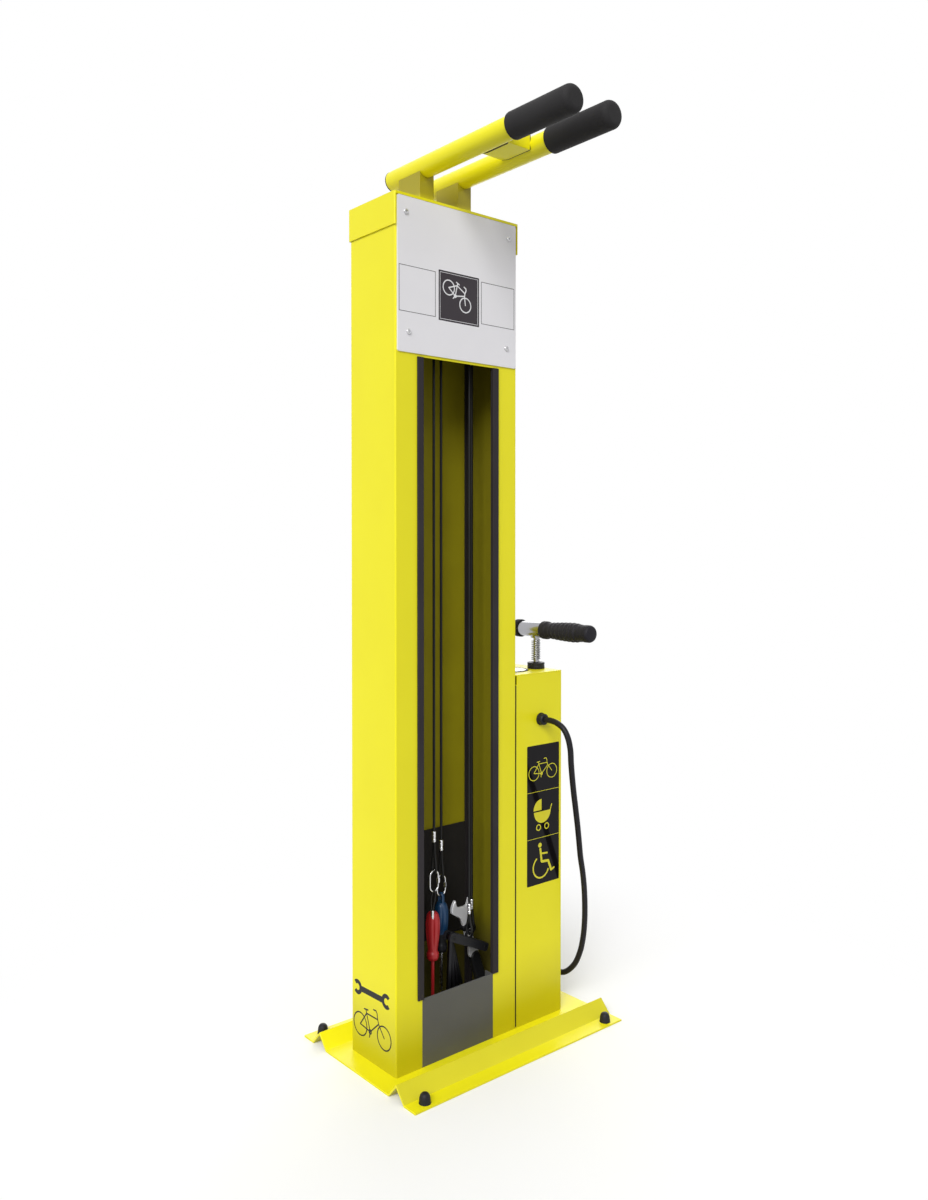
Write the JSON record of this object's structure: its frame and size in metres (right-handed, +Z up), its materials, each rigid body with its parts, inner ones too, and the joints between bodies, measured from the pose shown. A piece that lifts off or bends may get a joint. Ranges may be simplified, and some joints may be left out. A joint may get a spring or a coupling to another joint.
{
  "type": "bicycle repair station",
  "caption": "Floor-standing folded-steel column with sleeved hanging arms, tools on cables behind an open front, and a boxed floor pump with gauge and hose.",
  "frame": {"origin": "centre of the base plate's underside, on the ground", "axes": "+Z up, +X to the right as seen from the open front, +Y towards the rear; the hanging arms point to -Y"},
  "size_m": [0.447, 0.5013, 1.4385],
  "materials": {
    "yellow_paint": "smooth powder coat, half gloss",
    "graphite_paint": "fine textured powder coat, matt",
    "sign_face": "smooth, half gloss",
    "anchor_cap": "moulded, matt",
    "screw_steel": "stainless",
    "edge_rubber": "extruded, satin",
    "sleeve_rubber": "moulded, matt",
    "mat_rubber": "sheet, matt",
    "tube_plug": "moulded, matt",
    "barrel_aluminium": "drawn tube",
    "seal_rubber": "smooth",
    "rod_chrome": "hard chromed",
    "spring_steel": "drawn wire",
    "black_plastic": "moulded, satin",
    "grip_rubber": "moulded, satin",
    "dial_face": "printed scale",
    "needle_paint": "matt",
    "gauge_glass": "clear",
    "hose_rubber": "smooth, satin",
    "cable_jacket": "plastic-coated steel cable",
    "link_steel": "polished wire",
    "red_handle": "moulded, half gloss",
    "red_sheath": "insulated shaft",
    "blue_handle": "moulded, half gloss",
    "tool_steel": "chromed",
    "dark_steel": "black oxide",
    "clip_steel": "spring steel"
  },
  "bodies": {
    "station": {"base_plate": "yellow_paint", "anchor_front_left": "anchor_cap", "anchor_front_right": "anchor_cap", "anchor_rear_left": "anchor_cap", "anchor_rear_right": "anchor_cap", "column_shell": "yellow_paint", "top_cap": "yellow_paint", "sign_plate": "sign_face", "sign_screw_low_left": "screw_steel", "sign_screw_low_right": "screw_steel", "sign_screw_high_left": "screw_steel", "sign_screw_high_right": "screw_steel", "edge_trim_left": "edge_rubber", "edge_trim_right": "edge_rubber", "sill_cover": "graphite_paint", "back_mat": "mat_rubber", "corner_seal_left": "edge_rubber", "corner_seal_right": "edge_rubber", "arm_tube_left": "yellow_paint", "arm_tube_right": "yellow_paint", "arm_sleeve_left": "sleeve_rubber", "arm_sleeve_right": "sleeve_rubber", "arm_plug_left": "tube_plug", "arm_plug_right": "tube_plug", "arm_post_left": "yellow_paint", "arm_post_right": "yellow_paint", "arm_bridge": "yellow_paint", "pump_box": "yellow_paint", "pump_box_lid": "yellow_paint", "gauge_case": "black_plastic", "gauge_dial": "dial_face", "gauge_glass": "gauge_glass", "pump_barrel": "barrel_aluminium", "rod_collar": "black_plastic", "buffer_spring": "spring_steel", "hose_gland": "black_plastic", "pump_hose": "hose_rubber", "pump_head": "black_plastic", "head_clip": "clip_steel", "cable_shelf": "yellow_paint", "tool_cable_1": "cable_jacket", "tool_cable_2": "cable_jacket", "tool_cable_3": "cable_jacket", "tool_cable_4": "cable_jacket"},
    "plunger": {"pump_piston": "seal_rubber", "pump_rod": "rod_chrome"},
    "pump_handle": {"handle_bar": "rod_chrome", "grip_front": "grip_rubber", "grip_rear": "grip_rubber"},
    "needle": {"gauge_needle": "needle_paint"},
    "lever": {"chuck_lever": "black_plastic"},
    "flat_driver": {"flat_driver_link": "link_steel", "flat_driver_handle": "red_handle", "flat_driver_shaft": "red_sheath"},
    "cross_driver": {"cross_driver_link": "link_steel", "cross_driver_handle": "blue_handle", "cross_driver_shaft": "tool_steel"},
    "spanner": {"open_spanner": "tool_steel"},
    "hex_set": {"hex_set_body": "graphite_paint"},
    "hex_keys": {"hex_set_keys": "dark_steel"}
  },
  "joints": [
    {"name": "pump_stroke", "type": "slide", "parent": "station", "child": "plunger", "axis": [0, 0, 1], "range_m": [0, 0.42]},
    {"name": "handle_swivel", "type": "hinge", "parent": "plunger", "child": "pump_handle", "pos_m": [0.1532, -0.0122, 0.656], "axis": [0, 0, 1], "range_deg": [-30, 30]},
    {"name": "gauge_needle_turn", "type": "hinge", "parent": "station", "child": "needle", "pos_m": [0.101, 0, 0.598], "axis": [0, 0, -1], "range_deg": [0, 270], "stiffness_Nm_per_rad": 0.002},
    {"name": "chuck_lever_lift", "type": "hinge", "parent": "station", "child": "lever", "pos_m": [0.1905, 0.017, 0.443], "axis": [1, 0, 0], "range_deg": [0, 90]},
    {"name": "flat_driver_swing", "type": "hinge", "parent": "station", "child": "flat_driver", "pos_m": [-0.0745, -0.008, 0.28705], "axis": [-1, 0, 0], "range_deg": [-10, 8]},
    {"name": "cross_driver_swing", "type": "hinge", "parent": "station", "child": "cross_driver", "pos_m": [-0.0465, 0.008, 0.26975], "axis": [-1, 0, 0], "range_deg": [-8, 4]},
    {"name": "spanner_swing", "type": "hinge", "parent": "station", "child": "spanner", "pos_m": [0.017, 0.004, 0.168], "axis": [-1, 0, 0], "range_deg": [-8, 4]},
    {"name": "hex_set_swing", "type": "hinge", "parent": "station", "child": "hex_set", "pos_m": [-0.0115, -0.023, 0.1725], "axis": [-1, 0, 0], "range_deg": [-5, 12]},
    {"name": "hex_key_fold", "type": "hinge", "parent": "hex_set", "child": "hex_keys", "pos_m": [-0.05113, -0.023, 0.1771], "axis": [0, -1, 0], "range_deg": [-8, 42]}
  ]
}
